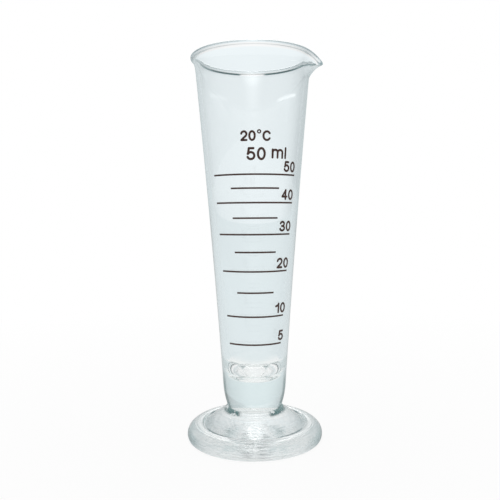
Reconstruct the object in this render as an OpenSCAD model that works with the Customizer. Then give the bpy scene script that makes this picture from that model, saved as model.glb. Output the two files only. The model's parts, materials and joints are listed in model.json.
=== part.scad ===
// Conical glass measure with a drawn pouring lip, fused to a round glass foot.
// Z is the axis of the vessel, and the foot stands on Z = 0.
// The lip points to +X, and the printed scale faces -Y.
// The lines of the scale stand where the cavity holds their volumes.

/* [Overall] */
// Height from the foot's underside to the top of the rim
total_h = 156; // [152:1:160]
// Diameter over the rolled rim
rim_d = 50; // [49.5:0.5:51]
// Height of the joint between the foot and the vessel
joint_h = 13; // [12:0.5:14]
// Diameter of the joint, the waist between the stem and the foot's collar
joint_d = 22.2; // [21:0.2:23]

/* [Vessel] */
// Outer diameter that the cone would have at the joint, without the stem's taper
stem_d = 24.8; // [24:0.2:26]
// Height over which the stem draws in to the joint
taper_h = 9; // [6:0.5:11]
// Outer diameter of the cone where the rim starts to flare
body_d = 46; // [45:0.2:47]
// How far the cone's outline bows inwards at half height
wall_bow = 0.48; // [0:0.02:1]
// Wall thickness below the rim
wall_rim = 1.4; // [1.2:0.1:1.8]
// Wall thickness at the cavity's floor
wall_floor = 3.4; // [3:0.1:4]
// Extra thickness of the wall's toe, where the cavity narrows to its floor
toe = 4.2; // [2:0.1:5]
// Height of the toe over the cavity's floor
toe_h = 9.5; // [8:0.1:12]
// Solid glass between the joint and the cavity's floor
solid_h = 11.1; // [10:0.1:14]
// Radius that rounds the cavity's floor into its wall
floor_edge = 3.5; // [3:0.1:4.5]
// Depth of the shallow dish in the cavity's floor
floor_dish = 0.5; // [0.1:0.1:1]

/* [Rim and lip] */
// Diameter of the fire-polished bead that ends the wall
bead_d = 1.8; // [1.6:0.1:2]
// Height over which the wall flares out to the bead
flare_h = 6; // [5:0.5:8]
// How far the lip's tip is drawn out past the rim
lip_reach = 3.6; // [2:0.1:5]
// How far the lip's tip is bent down below the rim
lip_drop = 2.3; // [1:0.1:3]
// Height of wall that is drawn out into the lip
lip_h = 8; // [7:0.5:8.5]
// Angle round the rim from the lip's tip to its root
lip_span = 30; // [24:1:40]
// Angle over which the lip's tip is rounded
lip_tip = 4; // [3:0.5:8]

/* [Foot] */
// Diameter of the foot at its widest
foot_d = 56; // [54:0.5:60]
// Height at which the foot is widest
foot_belly_h = 2.2; // [1.5:0.1:3]
// Diameter of the ring that the foot stands on, at its outer edge
foot_rest_d = 54; // [50:0.5:54]
// Diameter of the outer ring's crest
crest_d = 45.6; // [44.5:0.2:47]
// Height of the outer ring's crest
crest_h = 6.5; // [6:0.1:7.5]
// Diameter of the crease between the outer ring and the mound
crease_d = 42.4; // [38:0.2:43]
// Height of the crease
crease_h = 5.6; // [5:0.1:5.9]
// How far the mound's slope swells over a straight line
mound_swell = 0.35; // [0:0.05:0.8]
// Diameter of the collar under the joint
collar_d = 24.4; // [24:0.2:26]
// Height over which the collar's top edge is rounded in to the joint
collar_edge = 1.1; // [0.8:0.1:2]
// Diameter of the hollow under the foot
hollow_d = 42; // [30:1:46]
// Depth of the hollow under the foot
hollow_h = 1.2; // [0.5:0.1:2]

/* [Scale] */
// Length of the lowest long line, measured round the wall
line_low = 22.4; // [18:0.2:24]
// Growth of a long line's length for each millimetre of height
line_growth = 0.206; // [0.1:0.002:0.22]
// Length of a short line, as a share of a long one at its height
short_share = 0.55; // [0.4:0.05:0.7]
// Width of a line
line_w = 0.65; // [0.4:0.05:1]
// Thickness of the fired enamel
enamel_t = 0.08; // [0.05:0.01:0.15]
// Angle that the scale is turned from the front towards the lip
scale_turn = 2; // [-5:0.5:5]

/* [Hidden] */
$fn = 96;
// The scale has a line at each of these volumes, in ml
scale_step = 5;
scale_top = 50;
volumes = [scale_step:scale_step:scale_top];
function graduation_name(ml) = str("graduation_", ml < 10 ? "0" : "", ml);
// Node names: the two pieces of glass, then graduation_05, graduation_10 and so on
glass_colour = [0.78, 0.87, 0.88, 0.45];
enamel_colour = [0.33, 0.19, 0.15];
// Steps along the wall, along the drawn band, along a rounded edge and round the bead
wall_steps = 24;
band_steps = 5;
edge_steps = 8;
bead_steps = 8;
// Heights that follow from the driving dimensions
bead_z = total_h - bead_d / 2;
flare_z = bead_z - flare_h;
floor_z = joint_h + solid_h;
wall_z = floor_z + floor_edge;
taper_z = joint_h + taper_h;
taper_in = (stem_d - joint_d) / 2;
toe_z = floor_z + toe_h;
lip_z = bead_z - lip_h;
// The plain wall of revolution ends here, below the lip
split_z = lip_z - 1;
bead_r = rim_d / 2 - bead_d / 2;
// The drawn band's faceted wall stays this far inside the round one where they meet
seam = 0.03;
// Depth and margin of the tongue that carries the band down into the plain wall
tongue_h = 1;
tongue_in = 0.3;
// Degrees between the band's sections at the lip, and their number round the rest of the rim
lip_step = 1.5;
rim_steps = 75;
// The bead runs into the outer and the inner wall at these angles of its circle
bead_from = -45;
bead_to = 200;
// Height below the bead's middle at which the wall ends
neck_h = 1.1;
// Power that eases the lip's draw in, up the wall
lip_curve = 1.2;
// Powers that fade the toe out up the wall, and that set the wall's sections closer near its lower end
toe_fall = 1.2;
crowding = 1.6;

function mix(a, b, t) = a + (b - a) * t;
function clamp(t) = min(1, max(0, t));
function reversed(list) = [for (i = [len(list) - 1:-1:0]) list[i]];

// Points of an arc about [x, z], with a radius for each axis
// An arc that goes on from the point before it has first = 1
function arc(x, z, rx, rz, from, to, steps = edge_steps, first = 0) = [
    for (i = [first:steps])
    let (a = mix(from, to, i / steps))
    [x + rx * cos(a), z + rz * sin(a)]
];

// Radius of the bowed cone, without the flare
function cone_r(z) =
    let (u = (z - joint_h) / (flare_z - joint_h))
    mix(stem_d, body_d, u) / 2 - wall_bow * 4 * u * (1 - u);

// The wall thickens downwards, slowly at first, and much more at its toe
function wall_t(z) =
    mix(wall_rim, wall_floor, pow(clamp((flare_z - z) / (flare_z - floor_z)), 2))
    + toe * pow(clamp((toe_z - z) / toe_h), toe_fall);

// The flare brings the middle of the wall to the middle of the bead
flare_out = bead_r + wall_rim / 2 - cone_r(bead_z);
function outer_r(z) =
    cone_r(z)
    + flare_out * pow(clamp((z - flare_z) / flare_h), 3)
    - taper_in * pow(clamp((taper_z - z) / taper_h), 2);
function inner_r(z) = outer_r(z) - wall_t(z);

// Heights of the wall's sections, from low to high
function wall_heights(low, high, first = 0) =
    [for (i = [first:wall_steps]) mix(low, high, pow(i / wall_steps, crowding))];

// The cavity's outline from the middle of its floor to the height top
floor_r = inner_r(wall_z) - floor_edge;
function cavity_outline(top) = concat(
    [for (i = [0:edge_steps])
        let (u = i / edge_steps)
        [floor_r * u, floor_z + floor_dish * u * u]],
    arc(floor_r, wall_z, floor_edge, floor_edge - floor_dish, -90, 0, first = 1),
    [for (z = wall_heights(wall_z, top, 1)) [inner_r(z), z]]
);

// Volume of the frustum between two points of the outline, in ml
mm3_per_ml = 1000;
function frustum_ml(p, q) =
    PI / 3 * (q[1] - p[1]) * (p[0] * p[0] + p[0] * q[0] + q[0] * q[0]) / mm3_per_ml;

// Volume below each point of the cavity, paired with the point's height
cavity = cavity_outline(flare_z);
function filled(i) = i == 0 ? 0 : filled(i - 1) + frustum_ml(cavity[i - 1], cavity[i]);
fill = [for (i = [0:len(cavity) - 1]) [filled(i), cavity[i][1]]];
function level_z(ml) = lookup(ml, fill);

// Section of the plain vessel, from the joint to the drawn band
module vessel_section() {
    polygon(concat(
        [[0, joint_h]],
        [for (z = wall_heights(joint_h, split_z)) [outer_r(z), z]],
        reversed(cavity_outline(split_z))
    ));
}

// Closed section of the drawn band: tongue, outer wall, bead and inner wall
band_heights = [for (i = [0:band_steps]) mix(split_z, bead_z - neck_h, i / band_steps)];
band_section = concat(
    [[outer_r(split_z) - tongue_in, split_z - tongue_h]],
    [for (z = band_heights) [outer_r(z) - seam, z]],
    arc(bead_r, bead_z, bead_d / 2, bead_d / 2, bead_from, bead_to, bead_steps),
    [for (z = reversed(band_heights)) [inner_r(z) + seam, z]],
    [[inner_r(split_z) + tongue_in, split_z - tongue_h]]
);

// Angle from the lip's tip, with the tip rounded
function soft(a) = sqrt(a * a + lip_tip * lip_tip) - lip_tip;

// Share of the lip's draw at an azimuth: 1 at the tip, 0 from the root on
function lip_pinch(a) = pow(1 - clamp(soft(a) / soft(lip_span)), 2);

// A section point at azimuth a, drawn outwards and down near the lip
function band_point(a, p) =
    let (draw = lip_pinch(a) * pow(clamp((p[1] - lip_z) / lip_h), lip_curve))
    let (r = p[0] + lip_reach * draw)
    [r * cos(a), r * sin(a), p[1] - lip_drop * draw];

// The top of the wall with its bead and lip, as one lofted ring
module drawn_band() {
    azimuths = concat(
        [for (a = [-lip_span:lip_step:lip_span]) a],
        [for (i = [1:rim_steps - 1]) mix(lip_span, 360 - lip_span, i / rim_steps)]
    );
    rings = len(azimuths);
    side = len(band_section);
    polyhedron(
        points = [for (a = azimuths, p = band_section) band_point(a, p)],
        faces = [
            for (i = [0:rings - 1], j = [0:side - 1])
            let (k = (i + 1) % rings, n = (j + 1) % side)
            [i * side + j, i * side + n, k * side + n, k * side + j]
        ]
    );
}

module vessel() {
    color(glass_colour) {
        rotate_extrude() vessel_section();
        drawn_band();
    }
}

// The pressed foot: hollow underside, rounded outer ring, crease, mound and collar
module foot() {
    collar_z = joint_h - collar_edge;
    color(glass_colour)
        rotate_extrude()
            polygon(concat(
                [for (i = [0:edge_steps])
                    let (u = i / edge_steps)
                    [hollow_d / 2 * u, hollow_h * (1 - u * u)]],
                arc(foot_rest_d / 2, foot_belly_h, (foot_d - foot_rest_d) / 2, foot_belly_h, -90, 0),
                arc(crest_d / 2, foot_belly_h, (foot_d - crest_d) / 2, crest_h - foot_belly_h,
                    0, 90, first = 1),
                arc(crest_d / 2, crease_h, (crest_d - crease_d) / 2, crest_h - crease_h,
                    90, 180, first = 1),
                [for (i = [1:edge_steps])
                    let (u = i / edge_steps)
                    [mix(crease_d, collar_d, u) / 2,
                     mix(crease_h, collar_z, u) + mound_swell * 4 * u * (1 - u)]],
                arc(joint_d / 2, collar_z, (collar_d - joint_d) / 2, collar_edge, 0, 90, first = 1),
                [[0, joint_h]]
            ));
}

// One enamel line on the wall, at the level of its volume
module graduation(ml) {
    z = level_z(ml);
    low = z - line_w / 2;
    high = z + line_w / 2;
    is_long = ml % (2 * scale_step) == 0 || ml == scale_step;
    long_length = line_low + line_growth * (z - level_z(scale_step));
    length = is_long ? long_length : short_share * long_length;
    sweep = length / outer_r(z) * 180 / PI;
    color(enamel_colour)
        rotate([0, 0, scale_turn - 90 - sweep / 2])
            rotate_extrude(angle = sweep)
                polygon([
                    [outer_r(low), low],
                    [outer_r(low) + enamel_t, low],
                    [outer_r(high) + enamel_t, high],
                    [outer_r(high), high],
                ]);
}

vessel();
foot();
for (ml = volumes)
    graduation(ml);
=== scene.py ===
# Looks of the conical glass measuring cup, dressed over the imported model.
import json
import math
import bmesh
import bpy
from mathutils import Matrix, Vector

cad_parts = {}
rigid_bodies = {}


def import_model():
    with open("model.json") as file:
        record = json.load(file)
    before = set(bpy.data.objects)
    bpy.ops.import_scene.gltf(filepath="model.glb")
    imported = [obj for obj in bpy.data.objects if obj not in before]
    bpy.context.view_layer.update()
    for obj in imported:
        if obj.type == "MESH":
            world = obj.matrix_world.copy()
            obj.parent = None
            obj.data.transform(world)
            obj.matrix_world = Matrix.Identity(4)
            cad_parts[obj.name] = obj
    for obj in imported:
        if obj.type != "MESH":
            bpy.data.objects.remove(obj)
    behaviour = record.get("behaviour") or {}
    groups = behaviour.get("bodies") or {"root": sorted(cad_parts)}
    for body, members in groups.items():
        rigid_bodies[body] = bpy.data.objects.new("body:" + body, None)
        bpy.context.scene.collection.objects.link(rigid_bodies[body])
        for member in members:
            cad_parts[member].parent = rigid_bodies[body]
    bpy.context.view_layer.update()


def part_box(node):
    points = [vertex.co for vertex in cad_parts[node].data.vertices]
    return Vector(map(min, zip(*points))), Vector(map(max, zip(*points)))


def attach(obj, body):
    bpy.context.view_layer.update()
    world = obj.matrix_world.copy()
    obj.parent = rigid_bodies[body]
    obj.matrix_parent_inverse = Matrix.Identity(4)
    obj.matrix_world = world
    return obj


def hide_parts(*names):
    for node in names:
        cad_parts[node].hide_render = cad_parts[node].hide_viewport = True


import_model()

MM = 0.001
QUARTER = math.pi / 2

# Driving dimensions of the glass, in mm, as the part's source has them
TOTAL_H = 156.0
RIM_D = 50.0
JOINT_H = 13.0
STEM_D = 24.8
BODY_D = 46.0
WALL_BOW = 0.48
TAPER_H = 9.0
JOINT_D = 22.2
WALL_RIM = 1.4
WALL_FLOOR = 3.4
TOE = 4.2
TOE_H = 9.5
TOE_FALL = 1.2
SOLID_H = 11.1
FLOOR_EDGE = 3.5
FLOOR_DISH = 0.5
BEAD_D = 1.8
NECK_H = 1.1
FLARE_H = 6.0
LIP_REACH = 3.57
LIP_DROP = 2.3
LIP_H = 8.0
LIP_SPAN = math.radians(30)
LIP_TIP = math.radians(4)
LIP_CURVE = 1.2
FOOT_D = 56.0
FOOT_BELLY_H = 2.2
FOOT_REST_D = 54.0
CREST_D = 45.6
CREST_H = 6.5
CREASE_D = 42.4
CREASE_H = 5.6
MOUND_SWELL = 0.35
COLLAR_D = 24.4
COLLAR_EDGE = 1.1
HOLLOW_D = 42.0
HOLLOW_H = 1.2
SCALE_TURN = math.radians(2)
ENAMEL_T = 0.08

# Heights, radii and slopes that follow from them
BEAD_Z = TOTAL_H - BEAD_D / 2
BEAD_R = RIM_D / 2 - BEAD_D / 2
FLARE_Z = BEAD_Z - FLARE_H
FLOOR_Z = JOINT_H + SOLID_H
WALL_Z = FLOOR_Z + FLOOR_EDGE
TOE_Z = FLOOR_Z + TOE_H
TAPER_Z = JOINT_H + TAPER_H
LIP_Z = BEAD_Z - LIP_H
CONE_SLOPE = (BODY_D - STEM_D) / 2 / (FLARE_Z - JOINT_H)
CONE_FOOT_R = STEM_D / 2 - CONE_SLOPE * JOINT_H

# The part of the bead's circle that stands out of the wall
BEAD_FROM = math.radians(-45)
BEAD_TO = math.radians(200)

# The glass surfaces lie this far inside the solids' outline
SKIN = 0.03
SEGMENTS = 240

# Two places closer than this are the same
NEAR = 0.001

# How much closer together the points of the cavity's wall stand towards the floor
POINT_BIAS = 1.5


def mix(a, b, t):
    return a + (b - a) * t


def clamp(t):
    return min(1.0, max(0.0, t))


def spread(start, end, steps, first=0):
    """Evenly spaced values from start to end, from the step that is the first one wanted."""
    return [mix(start, end, i / steps) for i in range(first, steps + 1)]


def arc(x, z, rx, rz, start, end, steps, first=0):
    """Points of an arc about (x, z), with a radius for each axis."""
    return [(x + rx * math.cos(a), z + rz * math.sin(a)) for a in spread(start, end, steps, first)]


def cone_r(z):
    u = (z - JOINT_H) / (FLARE_Z - JOINT_H)
    return mix(STEM_D, BODY_D, u) / 2 - WALL_BOW * 4 * u * (1 - u)


def wall_t(z):
    plain = mix(WALL_RIM, WALL_FLOOR, clamp((FLARE_Z - z) / (FLARE_Z - FLOOR_Z)) ** 2)
    return plain + TOE * clamp((TOE_Z - z) / TOE_H) ** TOE_FALL


FLARE_OUT = BEAD_R + WALL_RIM / 2 - cone_r(BEAD_Z)


def outer_r(z):
    taper = (STEM_D - JOINT_D) / 2 * clamp((TAPER_Z - z) / TAPER_H) ** 2
    return cone_r(z) + FLARE_OUT * clamp((z - FLARE_Z) / FLARE_H) ** 3 - taper


def inner_r(z):
    return outer_r(z) - wall_t(z)


def lip_draw(azimuth, z):
    """Share of the lip's draw, 1 at the tip and 0 outside the drawn part of the wall."""
    def soft(a):
        return math.hypot(a, LIP_TIP) - LIP_TIP
    pinch = (1 - clamp(soft(azimuth) / soft(LIP_SPAN))) ** 2
    return pinch * clamp((z - LIP_Z) / LIP_H) ** LIP_CURVE


def vessel_profile():
    """The vessel's whole outline, from the middle of its lower face to the middle of the cavity's floor."""
    wall_top = BEAD_Z - NECK_H
    floor_r = inner_r(WALL_Z) - FLOOR_EDGE
    bead = BEAD_D / 2 - SKIN
    points = [(r, JOINT_H) for r in spread(0, JOINT_D / 2, steps=6)]
    points += [(outer_r(z) - SKIN, z) for z in spread(JOINT_H, TAPER_Z, steps=30, first=1)]
    points += [(outer_r(z) - SKIN, z) for z in spread(TAPER_Z, wall_top, steps=90, first=1)]
    points += arc(BEAD_R, BEAD_Z, bead, bead, BEAD_FROM, BEAD_TO, steps=24)
    down = [mix(wall_top, WALL_Z, 1 - u ** POINT_BIAS) for u in spread(1, 0, steps=100)]
    points += [(inner_r(z), z) for z in down[:-1]]
    points += arc(floor_r, WALL_Z, FLOOR_EDGE, FLOOR_EDGE - FLOOR_DISH, 0, -QUARTER, steps=20)
    points += [(floor_r * u, FLOOR_Z + FLOOR_DISH * u * u) for u in spread(1, 0, steps=8, first=1)]
    return points


def foot_profile():
    """The foot's whole outline, from the middle of its hollow to the middle of its top face."""
    joint_r = JOINT_D / 2
    collar_z = JOINT_H - COLLAR_EDGE
    points = [(HOLLOW_D / 2 * u, HOLLOW_H * (1 - u * u)) for u in spread(0, 1, steps=16)]
    points += arc(FOOT_REST_D / 2, FOOT_BELLY_H, (FOOT_D - FOOT_REST_D) / 2 - SKIN, FOOT_BELLY_H,
                  -QUARTER, 0, steps=12)
    points += arc(CREST_D / 2, FOOT_BELLY_H, (FOOT_D - CREST_D) / 2 - SKIN, CREST_H - FOOT_BELLY_H,
                  0, QUARTER, steps=20, first=1)
    points += arc(CREST_D / 2, CREASE_H, (CREST_D - CREASE_D) / 2, CREST_H - CREASE_H,
                  QUARTER, 2 * QUARTER, steps=8, first=1)
    points += [(mix(CREASE_D, COLLAR_D, u) / 2, mix(CREASE_H, collar_z, u) + MOUND_SWELL * 4 * u * (1 - u))
               for u in spread(0, 1, steps=24, first=1)]
    points += arc(joint_r, collar_z, COLLAR_D / 2 - joint_r, COLLAR_EDGE, 0, QUARTER, steps=10, first=1)
    points += [(r, JOINT_H) for r in spread(joint_r, 0, steps=6, first=1)]
    return points


def add_object(name, data):
    added = bpy.data.objects.new(name, data)
    bpy.context.scene.collection.objects.link(added)
    return added


def revolve(name, profile, drawn):
    """Turns a profile that starts and ends on the axis into a closed piece, drawn out to a lip or plain."""
    mesh = bpy.data.meshes.new(name)
    verts = [(0, 0, profile[0][1] * MM)]
    middle = profile[1:-1]
    for r, z in middle:
        for s in range(SEGMENTS):
            azimuth = 2 * math.pi * s / SEGMENTS
            signed = (azimuth + math.pi) % (2 * math.pi) - math.pi
            draw = lip_draw(signed, z) if drawn else 0
            reach = (r + LIP_REACH * draw) * MM
            verts.append((reach * math.cos(azimuth), reach * math.sin(azimuth), (z - LIP_DROP * draw) * MM))
    verts.append((0, 0, profile[-1][1] * MM))
    faces = []
    rings = len(middle)
    last = len(verts) - 1
    for s in range(SEGMENTS):
        t = (s + 1) % SEGMENTS
        faces.append((0, 1 + t, 1 + s))
        for k in range(rings - 1):
            a = 1 + k * SEGMENTS
            b = a + SEGMENTS
            faces.append((a + s, a + t, b + t, b + s))
        top = 1 + (rings - 1) * SEGMENTS
        faces.append((top + s, top + t, last))
    mesh.from_pydata(verts, [], faces)
    mesh.validate()
    mesh.polygons.foreach_set("use_smooth", [True] * len(mesh.polygons))
    return add_object(name, mesh)


class Graph:
    """A node tree with short ways to add to it. A source is another node's output or a plain value."""

    def __init__(self, owner):
        owner.use_nodes = True
        self.nodes = owner.node_tree.nodes
        self.links = owner.node_tree.links

    def feed(self, socket, source):
        if isinstance(source, bpy.types.NodeSocket):
            self.links.new(source, socket)
        else:
            socket.default_value = source

    def add(self, kind, sources=None, **settings):
        """A new node with its settings, its inputs fed by name or number."""
        node = self.nodes.new(kind)
        for name, value in settings.items():
            setattr(node, name, value)
        for name, source in (sources or {}).items():
            self.feed(node.inputs[name], source)
        return node

    def split(self, vector):
        """The x, y and z of a vector."""
        return self.add("ShaderNodeSeparateXYZ", {0: vector}).outputs

    def math(self, operation, first, second=0.0):
        return self.add("ShaderNodeMath", {0: first, 1: second}, operation=operation).outputs[0]

    def times(self, *factors):
        """The product of all the factors."""
        held = factors[0]
        for factor in factors[1:]:
            held = self.math("MULTIPLY", held, factor)
        return held

    def ranged(self, source, span, values=(0.0, 1.0), kind="SMOOTHSTEP"):
        """A value that passes from one of two values to the other while the source crosses a span."""
        sources = {"Value": source, "From Min": span[0], "From Max": span[1],
                   "To Min": values[0], "To Max": values[1]}
        return self.add("ShaderNodeMapRange", sources, interpolation_type=kind).outputs["Result"]

    def over_mm(self, source, span, values=(0.0, 1.0)):
        """The same over a span in mm."""
        return self.ranged(source, (span[0] * MM, span[1] * MM), values)

    def noise(self, place, scale, detail):
        sources = {"Vector": place, "Scale": scale, "Detail": detail}
        return self.add("ShaderNodeTexNoise", sources).outputs["Fac"]

    def blend(self, kind, first, second, factor=1.0):
        """Two colours or values, blended in one of the mix node's ways."""
        sources = {"A": first, "B": second, "Factor": factor}
        return self.add("ShaderNodeMix", sources, data_type="RGBA", blend_type=kind).outputs["Result"]

    def ramp(self, source, stops, kind="EASE"):
        """A colour for each value of the source, from stops that name a place from 0 to 1 and its colour."""
        node = self.add("ShaderNodeValToRGB", {"Fac": source})
        node.color_ramp.interpolation = kind
        held = node.color_ramp.elements
        for number, (place, colour) in enumerate(stops):
            stop = held[number] if number < 2 else held.new(place)
            stop.position = place
            stop.color = colour
        return node.outputs["Color"]

    def mix_shader(self, factor, first, second):
        return self.add("ShaderNodeMixShader", {0: factor, 1: first, 2: second}).outputs[0]

    def background(self, colour):
        return self.add("ShaderNodeBackground", {"Color": colour}).outputs[0]

    def dress(self, shader, looks, pattern, height, strength=1.0):
        """Feeds a shader with looks by the names of its inputs, and with a bump from a pattern."""
        for name, source in looks.items():
            self.feed(shader.inputs[name], source)
        sources = {"Strength": strength, "Distance": height, "Height": pattern}
        self.feed(shader.inputs["Normal"], self.add("ShaderNodeBump", sources).outputs["Normal"])


# The glass: how it bends light, and what a surface of it lets through, where the wall is thin, in the solid
# stem and in the foot
GLASS_IOR = 1.52
GLASS_WALL = (0.970, 0.975, 0.974, 1)
GLASS_STEM = (0.905, 0.945, 0.935, 1)
GLASS_FOOT = (0.972, 0.995, 0.992, 1)

WHITE = (1.0, 1.0, 1.0, 1)
BLACK = (0.0, 0.0, 0.0, 1)

# Painted light: the glass glows with this tone where a ray has been mirrored inside it more often than so many
# times
TRAPPED_GLOW = (0.62, 0.70, 0.71, 1)
TRAPPED_TURNS = 4.5

# Painted shade at the glass's edges, standing in for the dark that bent light shows there, and how closely it
# keeps
# to them: on the wall, in the stem over some heights, at the bead, and in the foot above its underside
EDGE_SHADE = (0.10, 0.15, 0.16, 1)
EDGE_POWER = 3.5
STEM_EDGE_POWER = 1.6
STEM_EDGE_Z = (21.0, 34.0)
BEAD_POWER = 1.0
BEAD_EDGE_Z = (BEAD_Z - 1.6, BEAD_Z - 0.9)
FOOT_EDGE_POWER = 1.7
FOOT_EDGE_Z = (1.3, 1.6)

# The outside of the wall, told from the cavity's surface by the radius with the cone's slope taken off, and
# the height up to which all of the glass counts as outside
OUTSIDE_R = (CONE_FOOT_R - 1.35, CONE_FOOT_R - 1.15)
SOLID_Z = FLOOR_Z - 0.2

# Painted highlight: the cavity's floor, its glass left untinted so that it shows brighter
BRIGHT_DISH_R = (6.0, 9.0)
BRIGHT_DISH_Z = (FLOOR_Z - 1, FLOOR_Z)

# Painted shade: the dark outline of the solid stem
STEM_LINE = (0.55, 0.72)
STEM_LINE_Z = (23.0, 32.0)
STEM_LINE_SHADE = (0.06, 0.11, 0.11, 1)

# Painted shade: the fine dark line under the bead, standing in for the far rim's dark edge: its two edges, the
# back half that it keeps to, and its gap in the middle
NECK_LOW = (153.4, 153.7)
NECK_HIGH = (154.2, 154.5)
NECK_BACK = (0.0, 6.0)
NECK_SIDE = (4.5, 6.5)
NECK_SHADE = (0.12, 0.20, 0.21, 1)

# Painted shade on the lip's tip, from so far out of the middle
TIP_FROM = (26.8, 27.8)
TIP_SHADE = (0.25, 0.34, 0.36, 1)

# Painted shade on the outer ring's sides
BELLY_FROM = (26.6, 27.9)
BELLY_SIDE = (18.0, 27.5)
BELLY_SHADE = (0.42, 0.55, 0.56, 1)

# Painted shade: the fine dark line in the crease, its width, height, and its start and end on both sides of the
# middle
CREASE_OFF = (0.25, 0.8)
CREASE_Z = (4.8, 5.2)
CREASE_START = (7.0, 11.0)
CREASE_END = (18.0, 20.5)
CREASE_SHADE = (0.03, 0.07, 0.08, 1)

# Painted shade: dark spots round the joint, on both sides of the middle, in place of the dark surroundings it
# mirrors
JOINT_SHADE_SCALE = 420.0
JOINT_SHADE_LEVEL = (0.33, 0.41)
JOINT_SHADE_SIDE = (4.5, 7.0)
JOINT_SHADE_Z = (11.2, 11.9)
JOINT_SHADE_TINT = (0.03, 0.07, 0.07, 1)

# The foot's smoothness on its underside and elsewhere, and the ridges that run round it
UNDERSIDE_ROUGH = 0.15
FOOT_ROUGH = 0.05
UNDERSIDE_Z = (1.25, 1.5)
RIDGE_SCALE = 900.0
RIDGE_H = 0.0003
DRIFT_SCALE = 70.0
DRIFT = 2.0

# The waves of the vessel's wall, longer upwards
WAVE_SCALE = (60, 60, 12)
WAVE_H = 0.00004


class Glass(Graph):
    """A clear glass material's graph: the place on the piece, in metres, and a colour that takes tints and
    painted shade.
    """

    def __init__(self, name, colour):
        self.material = bpy.data.materials.new(name)
        super().__init__(self.material)
        self.colour = colour
        self.place = self.add("ShaderNodeTexCoord").outputs["Object"]
        self.x, self.y, self.z = self.split(self.place)
        self.beside = self.math("ABSOLUTE", self.x)
        square = self.math("ADD", self.times(self.x, self.x), self.times(self.y, self.y))
        self.radius = self.math("SQRT", square)
        self.facing = self.add("ShaderNodeLayerWeight", {"Blend": 0.5}).outputs["Facing"]

    def tint(self, colour, *shares, kind="MIX"):
        """Takes a colour in by the product of the shares."""
        self.colour = self.blend(kind, self.colour, colour, self.times(*shares))

    def polish(self, rough, pattern, height):
        """The finished material, with a smoothness, a bump from a pattern and a painted glow where light has
        been mirrored inside it many times.
        """
        path = self.add("ShaderNodeLightPath").outputs
        looks = {
            "Base Color": self.colour,
            "Roughness": rough,
            "IOR": GLASS_IOR,
            "Transmission Weight": 1.0,
            "Emission Color": TRAPPED_GLOW,
            "Emission Strength": self.math("GREATER_THAN", path["Glossy Depth"], TRAPPED_TURNS),
        }
        self.dress(self.nodes["Principled BSDF"], looks, pattern, height)
        self.material.cycles.emission_sampling = "NONE"
        return self.material


def vessel_material():
    """Clear glass with the slight waves of hand-worked glass, its blue-green tint deeper in the solid stem;
    painted shade darkens its edges, the stem's outline, a line under the bead and the lip's tip, and a painted
    highlight clears its floor.
    """
    glass = Glass("vessel_glass", GLASS_STEM)
    glass.tint(GLASS_WALL, glass.over_mm(glass.z, (FLOOR_Z, TOE_Z)))
    cone = glass.math("SUBTRACT", glass.radius, glass.times(glass.z, CONE_SLOPE))
    solid = glass.math("LESS_THAN", glass.z, SOLID_Z * MM)
    outside = glass.math("MAXIMUM", glass.over_mm(cone, OUTSIDE_R), solid)
    power = glass.over_mm(glass.z, STEM_EDGE_Z, (STEM_EDGE_POWER, EDGE_POWER))
    bead = glass.times(glass.over_mm(glass.z, BEAD_EDGE_Z), EDGE_POWER - BEAD_POWER)
    power = glass.math("SUBTRACT", power, bead)
    glass.tint(EDGE_SHADE, glass.math("POWER", glass.facing, power), outside)
    glass.tint(STEM_LINE_SHADE, glass.ranged(glass.facing, STEM_LINE),
               glass.over_mm(glass.z, STEM_LINE_Z, (1, 0)), outside)
    glass.tint(WHITE, glass.over_mm(glass.radius, BRIGHT_DISH_R, (1, 0)), glass.over_mm(glass.z, BRIGHT_DISH_Z))
    glass.tint(NECK_SHADE, glass.over_mm(glass.z, NECK_LOW), glass.over_mm(glass.z, NECK_HIGH, (1, 0)),
               glass.over_mm(glass.y, NECK_BACK), glass.over_mm(glass.beside, NECK_SIDE))
    glass.tint(TIP_SHADE, glass.over_mm(glass.x, TIP_FROM))
    stretch = glass.add("ShaderNodeMapping", {"Vector": glass.place, "Scale": WAVE_SCALE}).outputs["Vector"]
    return glass.polish(0.0, glass.noise(stretch, 1.0, 1.0), WAVE_H)


def foot_material():
    """Pressed glass: fine ridges run round it, and its underside is a little less smooth; painted shade darkens
    its edges, the outer ring's sides, a line in the crease and spots round the joint.
    """
    glass = Glass("foot_glass", GLASS_FOOT)
    glass.tint(EDGE_SHADE, glass.math("POWER", glass.facing, FOOT_EDGE_POWER),
               glass.over_mm(glass.z, FOOT_EDGE_Z))
    glass.tint(BELLY_SHADE, glass.over_mm(glass.radius, BELLY_FROM), glass.over_mm(glass.beside, BELLY_SIDE),
               kind="MULTIPLY")
    off = glass.math("ABSOLUTE", glass.math("SUBTRACT", glass.radius, CREASE_D / 2 * MM))
    glass.tint(CREASE_SHADE, glass.over_mm(off, CREASE_OFF, (1, 0)), glass.over_mm(glass.z, CREASE_Z),
               glass.over_mm(glass.beside, CREASE_START), glass.over_mm(glass.beside, CREASE_END, (1, 0)))
    shade_spots = glass.ranged(glass.noise(glass.place, JOINT_SHADE_SCALE, 1.0), JOINT_SHADE_LEVEL, kind="LINEAR")
    glass.tint(JOINT_SHADE_TINT, glass.over_mm(glass.beside, JOINT_SHADE_SIDE), shade_spots, glass.over_mm(glass.z, JOINT_SHADE_Z))
    section = glass.add("ShaderNodeCombineXYZ", {
        "X": glass.times(glass.radius, RIDGE_SCALE),
        "Y": glass.times(glass.z, RIDGE_SCALE),
        "Z": glass.times(glass.noise(glass.place, DRIFT_SCALE, 1.0), DRIFT),
    }).outputs[0]
    rough = glass.over_mm(glass.z, UNDERSIDE_Z, (UNDERSIDE_ROUGH, FOOT_ROUGH))
    return glass.polish(rough, glass.noise(section, 1.0, 2.0), RIDGE_H)


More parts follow.
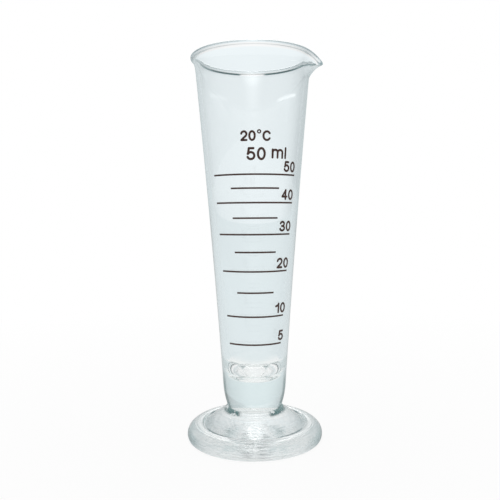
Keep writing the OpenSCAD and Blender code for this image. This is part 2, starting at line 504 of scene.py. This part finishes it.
def fused_material():
    """The joint between the two pieces of glass, which are fused and have no surface there."""
    material = bpy.data.materials.new("fused_joint")
    graph = Graph(material)
    graph.nodes.clear()
    clear = graph.add("ShaderNodeBsdfTransparent").outputs[0]
    graph.add("ShaderNodeOutputMaterial", {"Surface": clear})
    return material


ENAMEL_DARK = (0.050, 0.022, 0.015, 1)
ENAMEL_LIGHT = (0.105, 0.050, 0.036, 1)
ENAMEL_TONES = ((0.32, ENAMEL_DARK), (0.72, ENAMEL_LIGHT))
ENAMEL_SCALE = 900.0
ENAMEL_ROUGH = 0.38
ENAMEL_BUMP_H = 0.00003
ENAMEL_BUMP = 0.25


def enamel_material():
    """Fired brown enamel: satin, slightly uneven in tone."""
    material = bpy.data.materials.new("enamel_brown")
    graph = Graph(material)
    patch = graph.noise(graph.add("ShaderNodeTexCoord").outputs["Object"], ENAMEL_SCALE, 3.0)
    looks = {"Base Color": graph.ramp(patch, ENAMEL_TONES, "LINEAR"), "Roughness": ENAMEL_ROUGH}
    graph.dress(graph.nodes["Principled BSDF"], looks, patch, ENAMEL_BUMP_H, ENAMEL_BUMP)
    return material


# The printed characters: the width and the centre lines of each, in a box one unit tall; smooth lines only,
# so that each corner is the meeting of two round-ended strokes
GLYPHS = {
    "0": (0.64, [arc(0.32, 0.5, 0.32, 0.5, 0, 4 * QUARTER, 40)]),
    "1": (0.40, [[(0.40, 1.0), (0.40, 0.0)], [(0.02, 0.72), (0.22, 0.78), (0.33, 0.87), (0.40, 1.0)]]),
    "2": (0.62, [
        arc(0.31, 0.70, 0.31, 0.30, math.radians(172), math.radians(-38), 24)
        + [(0.42, 0.38), (0.24, 0.23), (0.08, 0.09), (0.0, 0.0)],
        [(0.0, 0.0), (0.62, 0.0)],
    ]),
    "3": (0.62, [
        arc(0.30, 0.76, 0.27, 0.24, math.radians(165), -QUARTER, 22) + [(0.22, 0.52)],
        arc(0.30, 0.26, 0.32, 0.26, QUARTER, math.radians(-168), 26),
    ]),
    "4": (0.66, [[(0.48, 1.0), (0.48, 0.0)], [(0.48, 1.0), (0.0, 0.27)], [(0.0, 0.27), (0.66, 0.27)]]),
    "5": (0.64, [
        [(0.56, 1.0), (0.13, 1.0)],
        [(0.13, 1.0), (0.05, 0.48)],
        arc(0.31, 0.32, 0.33, 0.32, math.radians(150), math.radians(-158), 30),
    ]),
    "C": (0.80, [arc(0.42, 0.5, 0.42, 0.5, math.radians(36), math.radians(324), 36)]),
    "°": (0.36, [arc(0.18, 0.98, 0.18, 0.18, 0, 4 * QUARTER, 24)]),
    "m": (1.16, [
        [(0.0, 0.80), (0.0, 0.0)],
        arc(0.29, 0.53, 0.29, 0.25, 2 * QUARTER, 0, 14) + [(0.58, 0.27), (0.58, 0.0)],
        arc(0.87, 0.53, 0.29, 0.25, 2 * QUARTER, 0, 14) + [(1.16, 0.27), (1.16, 0.0)],
    ]),
    "l": (0.0, [[(0.0, 1.0), (0.0, 0.0)]]),
}

# Each print: text, its full height and stroke width, the gap between characters, the height of its lower
# edge, and where it starts round the wall, in mm from the middle of the scale
LEGENDS = {
    "legend_temperature": ("20°C", 4.0, 0.82, 0.26, 119.75, -5.65),
    "legend_volume": ("50", 4.9, 0.89, 0.50, 112.66, -3.35),
    "legend_unit": ("ml", 4.55, 0.88, 0.60, 113.35, 6.35),
}

# The figures: their size, their gap over the line, and how far they reach past its right end, which moves
# with the height over the lowest line as the long lines grow
FIGURES = (5, 10, 20, 30, 40, 50)
FIGURE_H = 4.25
FIGURE_STROKE = 0.86
FIGURE_SPACE = 0.38
FIGURE_GAP = 1.0
FIGURE_OVER = 1.5
FIGURE_SHIFT = 0.0195
LINE_LOW = 22.4
LINE_GROWTH = 0.206

# The share of the stroke width that the thin degree sign has
LIGHT_STROKE = 0.62

# The distance of the places along a stroke, the half width at its very ends, as a squared share, the part of
# the width that is flat on top, and how much each next stroke of a text stands over the one before
STATION = 0.14
FEWEST_STATIONS = 8
END_SHARE = 0.004
TOP_SHARE = 0.82
STROKE_RISE = 0.004


def set_text(text, height, stroke, space):
    """Centre lines in mm, from 0 at the text's left and lower edge, with their stroke widths, and its width."""
    tall = height - stroke
    lines = []
    x = stroke / 2
    for character in text:
        width, strokes = GLYPHS[character]
        weight = stroke * (LIGHT_STROKE if character == "°" else 1)
        for points in strokes:
            lines.append(([(x + px * tall, stroke / 2 + py * tall) for px, py in points], weight))
        x += width * tall + stroke + space
    return lines, x - space - stroke / 2


def stations(line, stroke):
    """Evenly spaced places on a centre line: point, direction and half width, narrowed to round ends."""
    points = [Vector(p) for p in line]
    closed = (points[0] - points[-1]).length < NEAR
    if not closed:
        points.insert(0, points[0] + (points[0] - points[1]).normalized() * stroke / 2)
        points.append(points[-1] + (points[-1] - points[-2]).normalized() * stroke / 2)
    steps = [(b - a).length for a, b in zip(points, points[1:])]
    total = sum(steps)
    count = max(FEWEST_STATIONS, round(total / STATION))
    found = []
    for i in range(count + 1):
        along = total * i / count
        rest = along
        k = 0
        while k < len(steps) - 1 and rest > steps[k]:
            rest -= steps[k]
            k += 1
        ahead = (points[k + 1] - points[k]).normalized()
        half = stroke / 2
        if not closed:
            end = min(1.0, min(along, total - along) / half)
            half *= math.sqrt(max(END_SHARE, 1 - (1 - end) ** 2))
        found.append((points[k] + ahead * rest, ahead, half))
    return found


def printed_text(name, text, height, stroke, space, low_z, left=None, right=None):
    """Text as strokes of enamel on the wall, their sides standing on the glass and their edges rounded."""
    lines, width = set_text(text, height, stroke, space)
    start = left if right is None else right - width
    round_r = outer_r(low_z + height / 2)
    verts = []
    faces = []
    for number, (line, weight) in enumerate(lines):
        base = len(verts)
        top = ENAMEL_T + STROKE_RISE * number
        places = stations(line, weight)
        for point, ahead, half in places:
            for side, out in ((1, 0), (TOP_SHARE, top), (-TOP_SHARE, top), (-1, 0)):
                u = start + point.x - ahead.y * half * side
                z = low_z + point.y + ahead.x * half * side
                angle = SCALE_TURN - QUARTER + u / round_r
                r = outer_r(z) - SKIN + out
                verts.append(Vector((r * math.cos(angle), r * math.sin(angle), z)) * MM)
        for i in range(len(places) - 1):
            a = base + 4 * i
            for k in range(4):
                faces.append((a + k, a + (k + 1) % 4, a + 4 + (k + 1) % 4, a + 4 + k))
        last = base + 4 * (len(places) - 1)
        faces.append(tuple(base + k for k in range(4)))
        faces.append(tuple(last + 3 - k for k in range(4)))
    mesh = bpy.data.meshes.new(name)
    mesh.from_pydata(verts, [], faces)
    mesh.validate()
    form = bmesh.new()
    form.from_mesh(mesh)
    bmesh.ops.recalc_face_normals(form, faces=form.faces)
    form.to_mesh(mesh)
    form.free()
    return add_object(name, mesh)


def finish_print(piece, enamel):
    piece.data.materials.append(enamel)
    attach(piece, "root")


def add_figures(enamel):
    """The figures above the right ends of the long lines, and the legend over the scale."""
    base = None
    for ml in FIGURES:
        low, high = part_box("graduation_%02d" % ml)
        z = (low[2] + high[2]) / 2 / MM
        if base is None:
            base = z
        half = (LINE_LOW + LINE_GROWTH * (z - base)) / 2
        piece = printed_text("figure_%02d" % ml, str(ml), FIGURE_H, FIGURE_STROKE, FIGURE_SPACE,
                             z + FIGURE_GAP, right=half + FIGURE_OVER - FIGURE_SHIFT * (z - base))
        finish_print(piece, enamel)
    for name, print_of in LEGENDS.items():
        finish_print(printed_text(name, *print_of), enamel)


def add_glass():
    """The vessel and the foot, with no surface of glass where they are fused."""
    fused = fused_material()
    for name, profile, drawn, glass, node in (
        ("vessel_glass", vessel_profile(), True, vessel_material(), "vessel"),
        ("foot_glass", foot_profile(), False, foot_material(), "foot"),
    ):
        piece = revolve(name, profile, drawn)
        piece.data.materials.append(glass)
        piece.data.materials.append(fused)
        for face in piece.data.polygons:
            flat = abs(face.center.z - JOINT_H * MM) < NEAR * MM
            if flat and math.hypot(face.center.x, face.center.y) < JOINT_D / 2 * MM:
                face.material_index = 1
        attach(piece, "root")
        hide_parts(node)


def dress_lines(enamel):
    """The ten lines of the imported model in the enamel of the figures."""
    for ml in range(5, 51, 5):
        line = bpy.data.objects["graduation_%02d" % ml]
        for slot in line.material_slots:
            slot.material = enamel


# What is seen through the glass, by the height of the direction: 0 is straight down, 0.5 level, 1 straight up
BEHIND_LOW = (0.80, 0.88, 0.905, 1)
BEHIND_LEVEL = (0.90, 0.965, 0.99, 1)
BEHIND_HIGH = (0.05, 0.08, 0.085, 1)
WHITE_SPAN = (0.63, 0.68)
BEHIND = (
    (0.42, BEHIND_LOW),
    (0.52, BEHIND_LEVEL),
    (WHITE_SPAN[0], BEHIND_LEVEL),
    (WHITE_SPAN[1], WHITE),
    (0.83, WHITE),
    (0.90, BEHIND_HIGH),
)

# The share of light seen through the glass from the left at -1 to the right at 1, its green and blue a little
# higher, and how much of it holds in the white above and on the floor beyond some distance in metres
FLANKS = ((-1.0, 0.70), (-0.45, 0.90), (-0.2, 1.0), (0.12, 1.0), (0.32, 0.78), (0.6, 0.72), (1.0, 0.50))
FLANK_GREEN = 0.96
FLANK_BLUE = 0.95
FLANK_HIGH = 0.25
FLANK_LOW = 0.25
FLANK_REACH = (0.05, 0.12)

# A bright strip overhead, seen through the glass
STRIP_TONE = (0.5, 0.5, 0.5, 1)
STRIP_X = (0.0, 0.35)
STRIP_Z = (0.6, 0.9)

# The room that the glass mirrors, from front to back, with a long soft box overhead
ROOM_FRONT = (0.05, 0.06, 0.07, 1)
ROOM_BACK = (0.60, 0.66, 0.67, 1)
ROOM_Y = (0.35, 0.70)
BOX_LIGHT = (3.8, 3.8, 3.8, 1)
BOX_X = (0.0, 0.40)
BOX_Z = (0.25, 0.55)

# The two slanted lights at the sides, which the wall mirrors under the rim: their height at the middle and how
# it rises backwards, their soft edge, their two ends, and the weaker one's share
SLANT_LIGHT = 3.2
SLANT_Z = 0.0738
SLANT_RISE = 0.070
SLANT_EDGE = (0.0005, 0.0045)
SLANT_START = (-0.70, -0.50)
SLANT_END = (0.05, 0.25)
SLANT_SIDES = (-0.1, 0.1)
SLANT_SHARES = (0.3, 1.0)

# What lights the floor and the print
AMBIENT = (0.55, 0.55, 0.55, 1)

# The floor: its size, its height just under the foot, its own tone, the place under the foot that is white
# through the glass, and the share of the shadow that shows, fading outwards
FLOOR_SIDES = 96
FLOOR_R = 3.0
GROUND_Z = -0.0001
FLOOR_TONE = (0.92, 0.92, 0.92, 1)
UNDER_SPAN = (0.045, 0.075)
SHADOW_SPAN = (0.06, 0.35)
SHADOW_CLEAR = (0.93, 1.0)


def flank_tone(graph, x):
    """The share of light from the directions from left to right, x from -1 to 1."""
    stops = [((place + 1) / 2, (share, mix(1, share, FLANK_GREEN), mix(1, share, FLANK_BLUE), 1))
             for place, share in FLANKS]
    return graph.ramp(graph.ranged(x, (-1.0, 1.0), kind="LINEAR"), stops, "LINEAR")


def add_floor():
    """A white floor that shades under the object and fades into the white surroundings."""
    bpy.ops.mesh.primitive_circle_add(vertices=FLOOR_SIDES, radius=FLOOR_R, fill_type="NGON",
                                      location=(0, 0, GROUND_Z))
    floor = bpy.context.object
    floor.name = "studio_floor"
    material = bpy.data.materials.new("studio_white")
    graph = Graph(material)
    graph.nodes.clear()
    path = graph.add("ShaderNodeLightPath").outputs
    place = graph.add("ShaderNodeNewGeometry").outputs["Position"]
    reach = graph.add("ShaderNodeVectorMath", {0: place}, operation="LENGTH").outputs["Value"]
    x, y, _ = graph.split(place)
    level = graph.add("ShaderNodeCombineXYZ", {"X": x, "Y": y}).outputs[0]
    aim = graph.add("ShaderNodeVectorMath", {0: level}, operation="NORMALIZE").outputs["Vector"]
    through = graph.blend("MIX", WHITE, BEHIND_LOW, graph.ranged(reach, UNDER_SPAN))
    through = graph.blend("MULTIPLY", through, flank_tone(graph, graph.split(aim)["X"]),
                          graph.ranged(reach, FLANK_REACH, (0.0, FLANK_LOW)))
    tone = graph.blend("MIX", through, WHITE, path["Is Camera Ray"])
    glow = graph.add("ShaderNodeEmission", {"Color": tone, "Strength": 1.0}).outputs[0]
    diffuse = graph.add("ShaderNodeBsdfDiffuse", {"Color": FLOOR_TONE}).outputs[0]
    seen = graph.math("MAXIMUM", path["Is Camera Ray"], path["Is Transmission Ray"])
    share = graph.times(graph.ranged(reach, SHADOW_SPAN, SHADOW_CLEAR, "LINEAR"), seen)
    graph.add("ShaderNodeOutputMaterial", {"Surface": graph.mix_shader(share, diffuse, glow)})
    floor.data.materials.append(material)


def add_world():
    """A light studio: white behind the object, a cool tone behind its glass, a dimmer room for its mirrors."""
    world = bpy.data.worlds.new("studio_world")
    bpy.context.scene.world = world
    graph = Graph(world)
    graph.nodes.clear()
    x, y, z = graph.split(graph.add("ShaderNodeTexCoord").outputs["Generated"])
    aside = graph.math("ABSOLUTE", x)

    height = graph.ranged(z, (-1.0, 1.0), kind="LINEAR")
    through = graph.blend("MULTIPLY", graph.ramp(height, BEHIND), flank_tone(graph, x),
                          graph.ranged(height, WHITE_SPAN, (1.0, FLANK_HIGH)))
    strip = graph.blend("MULTIPLY", graph.ramp(aside, ((STRIP_X[0], STRIP_TONE), (STRIP_X[1], BLACK))),
                        graph.ramp(z, ((STRIP_Z[0], BLACK), (STRIP_Z[1], WHITE))))
    through = graph.blend("ADD", through, strip)

    room = graph.ramp(y, ((ROOM_Y[0], ROOM_FRONT), (ROOM_Y[1], ROOM_BACK)))
    box = graph.blend("MULTIPLY", graph.ramp(aside, ((BOX_X[0], BOX_LIGHT), (BOX_X[1], BLACK))),
                      graph.ramp(z, ((BOX_Z[0], BLACK), (BOX_Z[1], WHITE))))
    rise = graph.math("ADD", graph.times(y, SLANT_RISE), SLANT_Z)
    off = graph.math("ABSOLUTE", graph.math("SUBTRACT", z, rise))
    slant = graph.times(graph.ranged(off, SLANT_EDGE, (SLANT_LIGHT, 0.0)), graph.ranged(y, SLANT_START),
                        graph.ranged(y, SLANT_END, (1.0, 0.0)), graph.ranged(x, SLANT_SIDES, SLANT_SHARES))
    mirrored = graph.blend("ADD", graph.blend("ADD", room, box), slant)

    path = graph.add("ShaderNodeLightPath").outputs
    shaded = graph.mix_shader(path["Is Glossy Ray"], graph.background(AMBIENT), graph.background(mirrored))
    shaded = graph.mix_shader(path["Is Transmission Ray"], shaded, graph.background(through))
    surface = graph.mix_shader(path["Is Camera Ray"], shaded, graph.background(WHITE))
    graph.add("ShaderNodeOutputWorld", {"Surface": surface})


LAMP_HEIGHT = 1.2
LAMP_SIZE = 1.2
LAMP_POWER = 4.5


def add_lamp():
    """A soft box overhead for the print and the floor, which the glass neither mirrors nor shows."""
    lamp = bpy.data.lights.new("ceiling_softbox", "AREA")
    lamp.shape = "RECTANGLE"
    lamp.size = LAMP_SIZE
    lamp.size_y = LAMP_SIZE
    lamp.energy = LAMP_POWER
    holder = add_object("ceiling_softbox", lamp)
    holder.location = (0, 0, LAMP_HEIGHT)
    holder.visible_glossy = False
    holder.visible_transmission = False


# The camera stands close, a little over half the cup's height, and looks slightly down
CAMERA_DISTANCE = 0.2447
CAMERA_HEIGHT = 0.0918
CAMERA_LEFT = 0.0015
CAMERA_PITCH = math.radians(3.28)
CAMERA_ROLL = math.radians(-0.4)
CAMERA_LENS = 42.83
CAMERA_SENSOR = 36.0
CAMERA_CLIP = (0.01, 20)


def add_camera():
    camera = bpy.data.cameras.new("camera")
    camera.sensor_width = CAMERA_SENSOR
    camera.lens = CAMERA_LENS
    camera.clip_start, camera.clip_end = CAMERA_CLIP
    holder = add_object("camera", camera)
    turn = Matrix.Rotation(math.pi / 2 - CAMERA_PITCH, 4, "X") @ Matrix.Rotation(CAMERA_ROLL, 4, "Z")
    holder.matrix_world = Matrix.Translation((-CAMERA_LEFT, -CAMERA_DISTANCE, CAMERA_HEIGHT)) @ turn
    bpy.context.scene.camera = holder


add_camera()
enamel = enamel_material()
add_glass()
dress_lines(enamel)
add_figures(enamel)
add_floor()
add_world()
add_lamp()
bpy.context.scene.view_settings.view_transform = "Standard"
